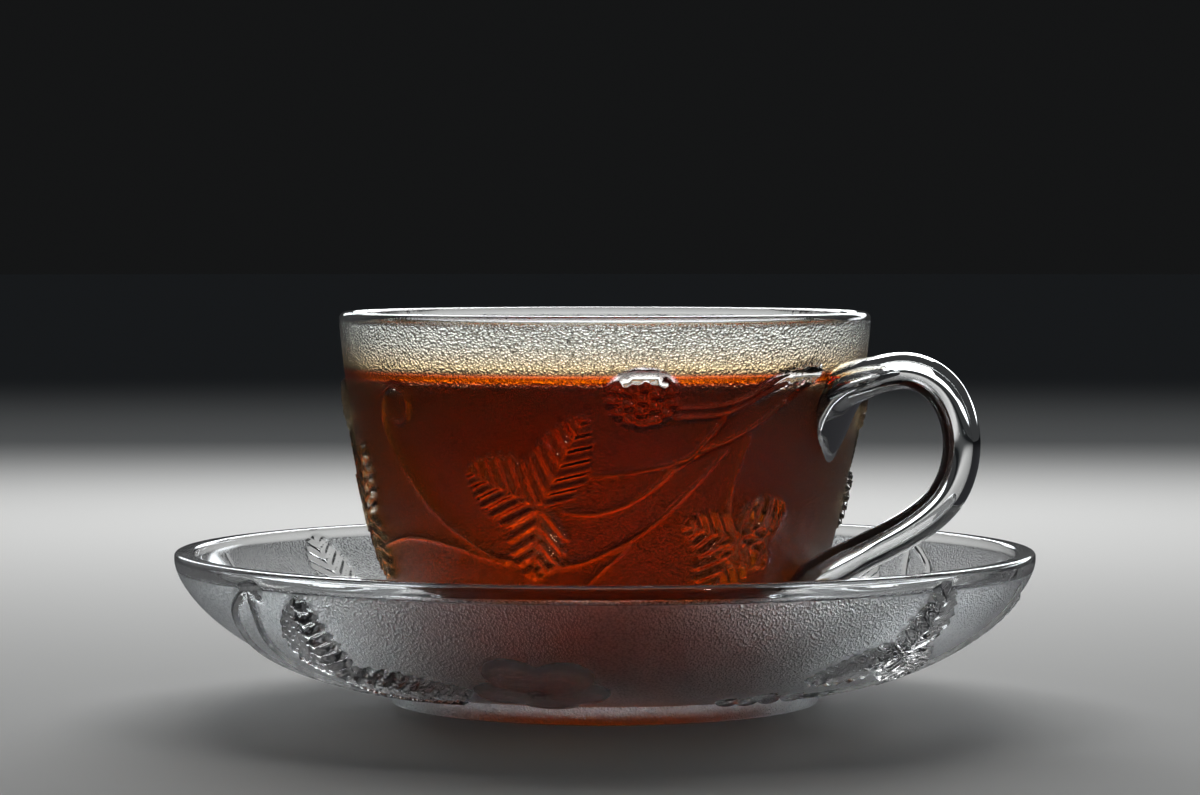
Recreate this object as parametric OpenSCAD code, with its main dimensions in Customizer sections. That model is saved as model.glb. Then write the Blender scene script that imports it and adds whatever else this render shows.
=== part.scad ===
// Pressed glass cup of tea on its saucer.
// Millimetres. The origin is the centre of the saucer's foot on the table, +Z is up
// and the cup's handle points along +X.

/* [Saucer] */
// Outer diameter of the saucer at its lip
saucer_d = 140; // [134:0.5:150]
// Height of the saucer from the table to the top of its lip
saucer_h = 24.8; // [23:0.1:28]
// Outer diameter of the saucer's foot ring
saucer_foot_d = 70; // [66:0.5:74]
// Height of the foot ring
saucer_foot_h = 3.2; // [2.6:0.1:3.6]
// Glass thickness where the dish leaves the foot
saucer_low_t = 3.9; // [3.4:0.1:4.4]
// Glass thickness just under the lip
saucer_lip_t = 3.2; // [2.4:0.1:3.4]

/* [Cup] */
// Outer diameter of the cup at its rim
cup_d = 86.6; // [84:0.2:90]
// Height of the cup from its foot to its rim
cup_h = 57.1; // [56:0.1:60]
// Wall thickness at the rim
rim_t = 2.5; // [2:0.1:3]
// Wall thickness low on the wall
wall_t = 3; // [2.6:0.1:3.4]
// Glass left under the tea in the middle of the cup
floor_t = 4.6; // [3.6:0.1:5.4]
// Outer diameter of the cup's foot ring
cup_foot_d = 50; // [47:0.5:52]

/* [Tea] */
// Drop from the rim to the surface of the tea
tea_drop = 8.6; // [5:0.1:20]

/* [Handle] */
// Thickness of the rod, measured towards and away from the cup
rod_t = 5.8; // [5:0.1:6.4]
// Width of the rod, measured across the handle
rod_w = 6.4; // [5.6:0.1:7]

/* [Hidden] */
$fn = 96;

// Saucer: the well that the cup stands in
seat_z = 6.5;
seat_d = cup_foot_d + 4;
seat_edge_h = 0.7;
foot_ring_w = 3.5;
foot_recess_h = 2.2;
lip_face_h = 1.2;
lip_round_r = 0.6;
// Shape of the dish: a rise that starts flat and ends upright
dish_start_r = saucer_foot_d / 2 + 1;
dish_power = 1.65;
dish_round = 0.62;
dish_steps = 22;

// Cup: the wall leans out from the foot, steeper towards the rim
wall_lean = 0.0892;
wall_bow = 0.002144;
wall_top = cup_h - rim_t / 2;
corner_top = 12.5;
corner_r = 14.5;
inner_corner_top = 15.5;
cup_foot_ring_w = 3;
cup_foot_recess = 1.2;
wall_steps = 10;
arc_steps = 10;
tea_level = cup_h - tea_drop;

// Handle: its centreline, [distance from the cup's axis, height over the cup's foot]
HANDLE_LINE = [
    [33, 42.5], [38.5, 44.5], [46, 46.8], [54, 48.4], [60.4, 45], [63.1, 37.3],
    [60.8, 28.9], [53.6, 23.1], [45.2, 18.9], [37.5, 14.2], [31, 10]
];
// Thumb spur: the tail of glass that runs down the wall from the handle's upper root
SPUR_LINE = [[50, 48], [45.5, 45.4], [43, 41.6], [41, 37.6], [39.6, 34.4], [38.4, 32]];
line_steps = 5;
rod_sides = 20;
flare_length = 9;
upper_flare = [1.25, 1.35];
lower_flare = [1.2, 1.9];
spur_t = [1.6, 2.6, 2.4, 1.8, 1.0, 0.5];
spur_w = [2.6, 3.6, 4.2, 3.4, 1.8, 0.6];

// Point of an arc, [radius, height] round a centre
function on_arc(c, r, a) = [c[0] + r * cos(a), c[1] + r * sin(a)];

// Point of a smooth curve through p1 and p2, with p0 and p3 before and after them
function smooth(p0, p1, p2, p3, t) =
    (2 * p1 + (p2 - p0) * t + (2 * p0 - 5 * p1 + 4 * p2 - p3) * t * t
        + (3 * p1 - p0 - 3 * p2 + p3) * t * t * t) / 2;

// The smooth curve through a whole list, which keeps its first and last points
function smooth_line(p, n) = concat(
    [for (i = [0 : len(p) - 2], k = [0 : n - 1])
        smooth(p[max(i - 1, 0)], p[i], p[i + 1], p[min(i + 2, len(p) - 1)], k / n)],
    [p[len(p) - 1]]);

// Length of a line of points up to its point i
function length_to(p, i) = i == 0 ? 0 : length_to(p, i - 1) + norm(p[i] - p[i - 1]);

// Eases from 1 at the start to 0 at a distance of one
function fade(x) = x >= 1 ? 0 : (1 - x) * (1 - x) * (1 + 2 * x);

// Underside of the dish, [radius, height], for u from 0 at the foot to 1 at the lip
function dish_under(u) = let(t = sin(90 * u))
    [dish_start_r + (saucer_d / 2 - dish_start_r) * t,
     saucer_foot_h + (saucer_h - lip_face_h - saucer_foot_h)
        * (1 - pow(max(1 - pow(t, dish_power), 0), dish_round))];

// Inside of the dish: the underside moved square to itself by the glass thickness
function dish_inside(u) = let(
        a = dish_under(max(u - 0.01, 0)),
        b = dish_under(min(u + 0.01, 1)),
        d = (b - a) / norm(b - a),
        t = saucer_low_t + (saucer_lip_t - saucer_low_t) * u)
    dish_under(u) + t * [-d[1], d[0]];

// Outer radius of the cup's wall at a height over the cup's foot
function wall_r(z) = cup_d / 2 - wall_lean * (wall_top - z) - wall_bow * pow(wall_top - z, 2);
function wall_slope(z) = wall_lean + 2 * wall_bow * (wall_top - z);

// Inner radius: the wall thickens from the rim to the corner
function inner_r(z) = wall_r(z) - rim_t
    - (wall_t - rim_t) * (wall_top - z) / (wall_top - inner_corner_top);

// The outer corner leaves the wall without a kink and turns under to the foot
corner_angle = -atan(wall_slope(corner_top));
corner_c = [wall_r(corner_top) - corner_r * cos(corner_angle),
            corner_top - corner_r * sin(corner_angle)];
foot_angle = -acos((cup_foot_d / 2 - corner_c[0]) / corner_r);

// The inner corner does the same and ends level on the floor
inner_angle = -atan(wall_slope(inner_corner_top));
inner_corner_r = (inner_corner_top - cup_foot_recess - floor_t) / (1 + sin(inner_angle));
inner_c = [inner_r(inner_corner_top) - inner_corner_r * cos(inner_angle),
           inner_corner_top - inner_corner_r * sin(inner_angle)];

// Cup's outside without its handle, filled to the axis
module bowl_outline() {
    polygon(concat(
        [[0, cup_foot_recess], [cup_foot_d / 2 - cup_foot_ring_w - 1, cup_foot_recess],
         [cup_foot_d / 2 - cup_foot_ring_w, 0], [cup_foot_d / 2 - 0.5, 0],
         [cup_foot_d / 2, 0.5]],
        [for (i = [0 : arc_steps - 1])
            on_arc(corner_c, corner_r, foot_angle + (corner_angle - foot_angle) * i / arc_steps)],
        [for (i = [0 : wall_steps]) let(z = corner_top + (wall_top - corner_top) * i / wall_steps)
            [wall_r(z), z]],
        [for (i = [1 : arc_steps])
            on_arc([cup_d / 2 - rim_t / 2, wall_top], rim_t / 2, 90 * i / arc_steps)],
        [[0, cup_h]]));
}

// Inside of the cup up to a height: the space, or the tea that fills it
module inside_outline(top) {
    polygon(concat(
        [[0, inner_corner_top - inner_corner_r * (1 + sin(inner_angle))]],
        [for (i = [0 : arc_steps - 1])
            on_arc(inner_c, inner_corner_r, -90 + (inner_angle + 90) * i / arc_steps)],
        [for (i = [0 : wall_steps])
            let(z = inner_corner_top + (tea_level - inner_corner_top) * i / wall_steps)
            [inner_r(z), z]],
        top > tea_level
            ? concat([[inner_r(wall_top), wall_top]],
                [for (i = [1 : arc_steps])
                    on_arc([cup_d / 2 - rim_t / 2, wall_top], rim_t / 2, 180 - 90 * i / arc_steps)],
                [[cup_d / 2 - rim_t / 2, top], [0, top]])
            : [[0, tea_level]]));
}

// Rod of oval section along a line in the handle's plane
module sweep(line, half_t, half_w) {
    last = len(line) - 1;
    rings = [for (i = [0 : last]) let(
            d = line[min(i + 1, last)] - line[max(i - 1, 0)],
            side = [-d[1], d[0]] / norm(d))
        for (k = [0 : rod_sides - 1]) let(
                a = 360 * k / rod_sides,
                p = line[i] + half_t[i] * cos(a) * side)
            [p[0], half_w[i] * sin(a), p[1]]];
    sides = [for (i = [0 : last - 1], k = [0 : rod_sides - 1]) let(
            a = i * rod_sides + k,
            b = i * rod_sides + (k + 1) % rod_sides)
        for (f = [[a, b, b + rod_sides], [a, b + rod_sides, a + rod_sides]]) f];
    start = [for (k = [rod_sides - 1 : -1 : 0]) k];
    end = [for (k = [0 : rod_sides - 1]) last * rod_sides + k];
    polyhedron(rings, concat(sides, [start, end]));
}

// Handle: one bent rod that swells where it meets the wall, and its spur
module handle() {
    line = smooth_line(HANDLE_LINE, line_steps);
    total = length_to(line, len(line) - 1);
    swell = [for (i = [0 : len(line) - 1]) let(
            s = length_to(line, i),
            top = fade((s - flare_length) / flare_length),
            low = fade((total - s - flare_length) / flare_length),
            first = s < flare_length ? 1 : top,
            final = total - s < flare_length ? 1 : low)
        [1 + (upper_flare[0] - 1) * first + (lower_flare[0] - 1) * final,
         1 + (upper_flare[1] - 1) * first + (lower_flare[1] - 1) * final]];
    sweep(line, [for (f = swell) f[0] * rod_t / 2], [for (f = swell) f[1] * rod_w / 2]);
    sweep(smooth_line(SPUR_LINE, line_steps),
        smooth_line(spur_t, line_steps), smooth_line(spur_w, line_steps));
}

// Saucer: a shallow dish on a foot ring, with a sunk well for the cup
module saucer() {
    color([0.86, 0.91, 0.93, 0.4]) rotate_extrude() polygon(concat(
        [[0, foot_recess_h], [saucer_foot_d / 2 - foot_ring_w - foot_recess_h / 2, foot_recess_h],
         [saucer_foot_d / 2 - foot_ring_w, 0], [saucer_foot_d / 2 - 0.5, 0],
         [saucer_foot_d / 2, 0.5], [saucer_foot_d / 2, saucer_foot_h]],
        [for (i = [0 : dish_steps]) dish_under(i / dish_steps)],
        [[saucer_d / 2, saucer_h - lip_round_r], [saucer_d / 2 - lip_round_r, saucer_h],
         [saucer_d / 2 - saucer_lip_t + lip_round_r, saucer_h],
         [saucer_d / 2 - saucer_lip_t, saucer_h - lip_round_r]],
        [for (i = [dish_steps : -1 : 0]) dish_inside(i / dish_steps)],
        [[seat_d / 2 + seat_edge_h, seat_z + seat_edge_h], [seat_d / 2, seat_z], [0, seat_z]]));
}

// Cup: the bowl and its handle are one piece of glass, hollowed to hold the tea
module cup() {
    color([0.86, 0.91, 0.93, 0.4]) translate([0, 0, seat_z]) difference() {
        union() {
            rotate_extrude() bowl_outline();
            handle();
        }
        rotate_extrude() inside_outline(cup_h + 1);
    }
}

// Tea: fills the cup from wall to wall up to its level
module tea() {
    color([0.36, 0.1, 0.02, 0.9]) translate([0, 0, seat_z])
        rotate_extrude() inside_outline(tea_level);
}

saucer();
cup();
tea();
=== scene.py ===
"""A pressed glass cup of tea on its saucer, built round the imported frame.

Each piece is an operator: the stage, the cup with its handle, the saucer and the tea.
Lengths are metres, heights are over the table, and angles run round the cup's axis
from the handle, which points along +X.
"""

import math

import bpy
import numpy as np
from bpy.props import FloatProperty, FloatVectorProperty, PointerProperty
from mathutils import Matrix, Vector


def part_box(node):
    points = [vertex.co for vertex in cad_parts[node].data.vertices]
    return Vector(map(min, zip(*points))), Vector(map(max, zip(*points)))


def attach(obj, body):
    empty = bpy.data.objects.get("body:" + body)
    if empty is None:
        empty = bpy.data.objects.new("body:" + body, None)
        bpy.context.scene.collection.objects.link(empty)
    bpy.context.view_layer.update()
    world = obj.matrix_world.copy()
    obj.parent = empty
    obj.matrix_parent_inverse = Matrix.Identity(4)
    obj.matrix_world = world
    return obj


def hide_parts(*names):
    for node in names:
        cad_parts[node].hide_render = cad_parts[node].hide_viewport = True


bl_info = {
    "name": "Pressed Glass Cup of Tea",
    "version": (1, 0, 0),
    "blender": (4, 5, 0),
    "location": "View3D > Sidebar > Cup of Tea",
    "description": "Makes a stippled glass cup and saucer with raised leaves, and the tea in it",
    "category": "Add Mesh",
}

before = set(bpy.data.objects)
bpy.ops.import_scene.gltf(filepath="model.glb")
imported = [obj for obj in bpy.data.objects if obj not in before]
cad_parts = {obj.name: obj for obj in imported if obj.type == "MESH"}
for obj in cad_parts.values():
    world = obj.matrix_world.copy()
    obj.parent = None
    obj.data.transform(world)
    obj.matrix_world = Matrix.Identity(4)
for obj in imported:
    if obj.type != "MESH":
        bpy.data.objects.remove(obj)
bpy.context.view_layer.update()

MM = 0.001
CUP_LO, CUP_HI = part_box("cup")
_, SAUCER_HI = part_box("saucer")
_, TEA_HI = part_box("tea")

# Cup: outside and inside of the wall, corner and foot
RIM_R = -CUP_LO.x
RIM_Z = CUP_HI.z
CUP_FOOT_Z = CUP_LO.z
RIM_T = 2.5 * MM
WALL_T = 3.0 * MM
FLOOR_T = 4.6 * MM
WALL_LEAN = 0.0892
WALL_BOW = 2.144
WALL_TOP = RIM_Z - RIM_T / 2
CORNER_TOP = CUP_FOOT_Z + 12.5 * MM
CORNER_R = 14.5 * MM
INNER_TOP = CUP_FOOT_Z + 15.5 * MM
CUP_FOOT_R = 25 * MM
CUP_RING_W = 3 * MM
CUP_RECESS = 1.2 * MM

# Saucer: dish, foot ring and the well that the cup stands in
LIP_R = SAUCER_HI.x
LIP_Z = SAUCER_HI.z
LIP_FACE = 1.2 * MM
LIP_ROUND = 0.6 * MM
FOOT_R = LIP_R / 2
FOOT_H = 3.2 * MM
FOOT_RING_W = 3.5 * MM
FOOT_RECESS = 2.2 * MM
DISH_START = FOOT_R + 1 * MM
DISH_POWER = 1.65
DISH_ROUND = 0.62
DISH_LOW_T = 3.9 * MM
DISH_LIP_T = 3.2 * MM
SEAT_R = CUP_FOOT_R + 2 * MM
SEAT_EDGE = 0.7 * MM
# How much deeper and rougher than on the cup the pebbles stand on the dish and on its foot
DISH_GRAIN = 1.7
FOOT_GRAIN = 3.0

# Handle: its centreline, and the tail of glass under its upper root with its half thickness
# and half width. Points are [distance from the axis, height over the cup's foot]
HANDLE_LINE = np.array([
    [33, 42.5], [38.5, 44.5], [46, 46.8], [54, 48.4], [60.4, 45], [63.1, 37.3],
    [60.8, 28.9], [53.6, 23.1], [45.2, 18.9], [37.5, 14.2], [31, 10],
]) * MM
SPUR_LINE = np.array(
    [[49, 47.4], [43.6, 45.4], [41.0, 41.6], [39.7, 37.6], [38.8, 34.4], [37.8, 32]]) * MM
SPUR_T = np.array([1.6, 2.6, 2.2, 2.0, 1.8, 1.2]) * MM
SPUR_W = np.array([3.0, 6.2, 7.2, 6.2, 3.8, 1.6]) * MM
ROD_T = 5.8 * MM
ROD_W = 6.4 * MM
# Length over which the rod flares at a root, and how much it gains there: [thickness, width]
FLARE = 9 * MM
UPPER_GAIN = (0.25, 0.8)
LOWER_GAIN = (0.2, 0.9)

# Tea: its level in the CAD, how far it reaches into the glass and over its level at the wall,
# and how broad its rounded edge is
TEA_Z = TEA_HI.z
TEA_INTO = 0.25 * MM
TEA_OVER = 0.1 * MM
TEA_EDGE_W = 0.4 * MM

GLASS_IOR = 1.5
TEA_IOR = 1.333
CLEAR = (0.98, 0.985, 0.985, 1)


# ---------------------------------------------------------------- settings

class GlassSettings(bpy.types.PropertyGroup):
    """Finish of the pressed glass"""
    pebble: FloatProperty(
        name="Pebble size", description="Width of one pebble", unit="LENGTH",
        default=0.42 * MM, min=0.2 * MM, max=2 * MM)
    pebble_depth: FloatProperty(
        name="Pebble depth", description="Height of the pebbles", unit="LENGTH",
        default=0.14 * MM, min=0, max=1 * MM)
    frost: FloatProperty(
        name="Frost", description="Roughness of the pebbles", default=0.18, min=0, max=1)
    relief: FloatProperty(
        name="Relief", description="How far the raised leaves and stems stand out, 1 is full",
        default=1.0, min=0, max=2)


class TeaSettings(bpy.types.PropertyGroup):
    """Colour and surface of the tea"""
    colour: FloatVectorProperty(
        name="Colour", description="Colour that the tea takes on with depth", subtype="COLOR",
        size=3, min=0, max=1, default=(0.85, 0.61, 0.03))
    strength: FloatProperty(
        name="Strength", description="How fast the tea darkens with depth", default=150, min=0)
    rise: FloatProperty(
        name="Meniscus", description="How far the tea climbs the glass", unit="LENGTH",
        default=1.9 * MM, min=0, max=3 * MM)


class StageSettings(bpy.types.PropertyGroup):
    """Floor, light and camera"""
    floor: FloatVectorProperty(
        name="Floor", description="Colour of the floor", subtype="COLOR", size=3,
        min=0, max=1, default=(0.78, 0.78, 0.77))
    pale: FloatProperty(
        name="Pale out to", description="Distance from the cup where the floor starts to darken",
        unit="LENGTH", default=0.5)
    dark: FloatProperty(
        name="Dark from", description="Distance from the cup where the floor is darkest",
        unit="LENGTH", default=1.6)
    sky: FloatProperty(
        name="Room light", description="Strength of the even light of the room",
        default=0.03, min=0)
    panel: FloatProperty(
        name="Panels", description="Strength of the soft panels of light behind the cup",
        default=1.0, min=0)
    azimuth: FloatProperty(
        name="Camera azimuth", description="Where the camera stands round the cup", subtype="ANGLE",
        default=math.radians(28))
    distance: FloatProperty(
        name="Camera distance", description="From the cup's axis", unit="LENGTH", default=0.635)
    height: FloatProperty(
        name="Camera height", description="Over the table", unit="LENGTH", default=0.0752)
    lens: FloatProperty(
        name="Lens", description="Focal length on a 36 mm sensor, in millimetres", default=116.8)


# ---------------------------------------------------------------- curves

def on_arc(centre, radius, start, end, count):
    """Points of an arc: the centre plus the radius times the cosine and sine of even angles."""
    a = np.linspace(start, end, count)
    return np.stack([centre[0] + radius * np.cos(a), centre[1] + radius * np.sin(a)], 1)


def smooth_line(points, steps):
    """Catmull-Rom curve: each stretch is a cubic whose slopes come from the points either side."""
    p = np.asarray(points, float)
    p = p.reshape(len(p), -1)
    q = np.concatenate([p[:1], p, p[-1:]])
    t = np.linspace(0, 1, steps, endpoint=False)[None, :, None]
    a, b, c, d = (q[i: len(q) - 3 + i][:, None, :] for i in range(4))
    curve = (2 * b + (c - a) * t + (2 * a - 5 * b + 4 * c - d) * t ** 2
             + (3 * b - a - 3 * c + d) * t ** 3) / 2
    return np.concatenate([curve.reshape(-1, p.shape[1]), p[-1:]])


def line_lengths(points):
    """Length along a line of points, from 0 at the first."""
    steps = np.linalg.norm(np.diff(points, axis=0), axis=1)
    return np.concatenate([[0], np.cumsum(steps)])


def smoothstep(low, high, x):
    """Eases from 0 at low to 1 at high."""
    t = np.clip((x - low) / (high - low), 0, 1)
    return t * t * (3 - 2 * t)


# ---------------------------------------------------------------- profiles

def wall_radius(z):
    """Outer radius of the cup: a line that leans out plus a square term for the bow."""
    d = WALL_TOP - z
    return RIM_R - WALL_LEAN * d - WALL_BOW * d * d


def wall_slope(z):
    """How fast the outer radius grows with height."""
    return WALL_LEAN + 2 * WALL_BOW * (WALL_TOP - z)


def inner_radius(z):
    """Inner radius of the cup: the wall thickens evenly from the rim to the corner."""
    grow = (WALL_TOP - z) / (WALL_TOP - INNER_TOP)
    return wall_radius(z) - RIM_T - (WALL_T - RIM_T) * grow


def outer_corner(count):
    """Arc from the foot up to the wall, which it meets without a kink."""
    lean = -math.atan(wall_slope(CORNER_TOP))
    centre = (wall_radius(CORNER_TOP) - CORNER_R * math.cos(lean),
              CORNER_TOP - CORNER_R * math.sin(lean))
    start = -math.acos((CUP_FOOT_R - centre[0]) / CORNER_R)
    return on_arc(centre, CORNER_R, start, lean, count)


def inner_corner(count, grow=0.0):
    """Arc from the inner wall down to the level floor, moved outwards by grow."""
    lean = -math.atan(wall_slope(INNER_TOP))
    radius = (INNER_TOP - CUP_FOOT_Z - CUP_RECESS - FLOOR_T) / (1 + math.sin(lean))
    centre = (inner_radius(INNER_TOP) - radius * math.cos(lean),
              INNER_TOP - radius * math.sin(lean))
    return on_arc(centre, radius + grow, lean, -math.pi / 2, count)


def dish_underside(count):
    """Underside of the dish: the height follows a power of the radius that ends upright."""
    t = np.sin(np.linspace(0, math.pi / 2, count))
    rise = 1 - np.maximum(1 - t ** DISH_POWER, 0) ** DISH_ROUND
    r = DISH_START + (LIP_R - DISH_START) * t
    return np.stack([r, FOOT_H + (LIP_Z - LIP_FACE - FOOT_H) * rise], 1)


def dish_inside(count):
    """Inside of the dish: the underside moved square to itself by the glass thickness."""
    fine = dish_underside(2001)
    d = np.gradient(fine, axis=0)
    d /= np.linalg.norm(d, axis=1)[:, None]
    t = DISH_LOW_T + (DISH_LIP_T - DISH_LOW_T) * np.linspace(0, 1, len(fine))
    moved = fine + t[:, None] * np.stack([-d[:, 1], d[:, 0]], 1)
    return resample(moved, count)


def resample(points, count):
    """The same line with its points an even distance apart."""
    s = line_lengths(points)
    even = np.linspace(0, s[-1], count)
    return np.stack([np.interp(even, s, points[:, k]) for k in range(points.shape[1])], 1)


# ---------------------------------------------------------------- meshes

def revolve(sections, lift=None):
    """Closed solid of revolution.

    A section is (points, columns): its points turn round the axis in that many columns. A
    section has as many columns as the last, or half, or twice as many. The first and last
    points lie on the axis and close into fans. lift gives a height to add square to the
    surface, from the angles and the points of a section, or None.
    """
    profile = np.concatenate([p for p, _ in sections])
    d = np.gradient(profile, axis=0)
    d /= np.maximum(np.linalg.norm(d, axis=1)[:, None], 1e-12)
    normals = np.stack([d[:, 1], -d[:, 0]], 1)
    verts, quads, tris = [], [], []
    at, row, last = 0, 0, None
    for k, (points, n) in enumerate(sections):
        a = np.arange(n) * (2 * math.pi / n)
        pole = [k == 0, k == len(sections) - 1]
        body = points[pole[0]: len(points) - pole[1]]
        square = normals[row + pole[0]: row + len(points) - pole[1]]
        row += len(points)
        if pole[0]:
            verts.append([[0, 0, points[0][1]]])
            last, at = (0, 0), 1
        h = lift(a, body, k) if lift else None
        if h is None:
            h = np.zeros((len(body), n))
        r = body[:, :1] + square[:, :1] * h
        z = body[:, 1:] + square[:, 1:] * h
        verts.append(np.stack([r * np.cos(a), r * np.sin(a), z], 2).reshape(-1, 3))
        start = at
        at += len(body) * n
        quads.append(grid_quads(start, len(body), n))
        tris += stitch(last, (start, n))
        last = (at - n, n)
        if pole[1]:
            j = np.arange(n)
            verts.append([[0, 0, points[-1][1]]])
            tris.append(np.stack([last[0] + j, last[0] + (j + 1) % n, np.full(n, at)], 1))
    return np.concatenate(verts), np.concatenate(quads), np.concatenate(tris)


def grid_quads(start, rows, n):
    """Quads between rows of n points round a closed ring, numbered from start."""
    j = np.arange(n)
    i = start + np.arange(rows - 1)[:, None] * n
    k = (j + 1) % n
    return np.stack([i + j, i + k, i + n + k, i + n + j], 2).reshape(-1, 4)


def stitch(low, high):
    """Triangles between two rings of the same count, or one of twice the other."""
    (a, n), (b, m) = low, high
    if n == 0:
        j = np.arange(m)
        return [np.stack([np.full(m, a), b + (j + 1) % m, b + j], 1)]
    if n == m:
        j = np.arange(n)
        k = (j + 1) % n
        return [np.stack([a + j, a + k, b + k], 1), np.stack([a + j, b + k, b + j], 1)]
    turned = m > n
    if turned:
        a, n, b, m = b, m, a, n
    if n != 2 * m:
        raise ValueError(f"rings of {n} and {m} columns don't join")
    j = np.arange(m)
    f0, f1, f2 = a + 2 * j, a + 2 * j + 1, a + (2 * j + 2) % n
    c0, c1 = b + j, b + (j + 1) % m
    tris = [np.stack(corners, 1) for corners in ((f0, f1, c0), (f1, c1, c0), (f1, f2, c1))]
    return [t[:, ::-1] for t in tris] if turned else tris


def swept(line, half_t, half_w, sides):
    """Closed rod of oval section along a line in the XZ plane.

    Each ring is the line's point plus the cosine times the in-plane half thickness along the
    line's normal, plus the sine times the half width along Y. The ends close into fans.
    """
    d = np.gradient(line, axis=0)
    d /= np.linalg.norm(d, axis=1)[:, None]
    side = np.stack([-d[:, 1], d[:, 0]], 1)
    a = np.arange(sides) * (2 * math.pi / sides)
    p = line[:, None, :] + (half_t[:, None] * np.cos(a))[:, :, None] * side[:, None, :]
    y = half_w[:, None] * np.sin(a)
    rings = np.stack([p[:, :, 0], y, p[:, :, 1]], 2)
    ends = [[line[k][0], 0, line[k][1]] for k in (0, -1)]
    verts = np.concatenate([rings.reshape(-1, 3), ends])
    j = np.arange(sides)
    k = (j + 1) % sides
    first = len(line) * sides
    tail = first - sides
    tris = np.concatenate([
        np.stack([np.full(sides, first), k, j], 1),
        np.stack([np.full(sides, first + 1), tail + j, tail + k], 1)])
    return verts, grid_quads(0, len(line), sides), tris


def put_mesh(name, verts, quads, tris):
    """Mesh object at the origin from arrays of points, quads and triangles, shaded smooth."""
    mesh = bpy.data.meshes.new(name)
    mesh.from_pydata(verts.tolist(), [], quads.tolist() + tris.tolist())
    mesh.validate()
    mesh.shade_smooth()
    piece = bpy.data.objects.new(name, mesh)
    bpy.context.scene.collection.objects.link(piece)
    return piece


def cut_or_join(piece, other, operation):
    """The piece joined with another solid, or with the other cut away, as one closed mesh."""
    step = piece.modifiers.new("Solid", "BOOLEAN")
    step.operation = operation
    step.solver = "MANIFOLD"
    step.object = other
    depsgraph = bpy.context.evaluated_depsgraph_get()
    done = bpy.data.meshes.new_from_object(piece.evaluated_get(depsgraph))
    piece.modifiers.remove(step)
    old = piece.data
    piece.data = done
    done.name = piece.name
    bpy.data.meshes.remove(old)
    gone = other.data
    bpy.data.objects.remove(other)
    bpy.data.meshes.remove(gone)
    if not len(done.polygons):
        raise RuntimeError(f"{piece.name} came out empty")
    done.shade_smooth()


def points_of(mesh):
    """The mesh's points as an array."""
    co = np.empty(len(mesh.vertices) * 3, np.float32)
    mesh.vertices.foreach_get("co", co)
    return co.reshape(-1, 3).astype(float)


def paint(mesh, name, values):
    """Stores one number for each point, for the materials to read."""
    layer = mesh.attributes.new(name, "FLOAT", "POINT")
    layer.data.foreach_set("value", np.asarray(values, np.float32))


# ---------------------------------------------------------------- raised pattern
# The pattern is drawn on a flat sheet, in millimetres, and gives a height and a cover,
# which is 1 where the glass is smooth because the pattern stands there.

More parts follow.
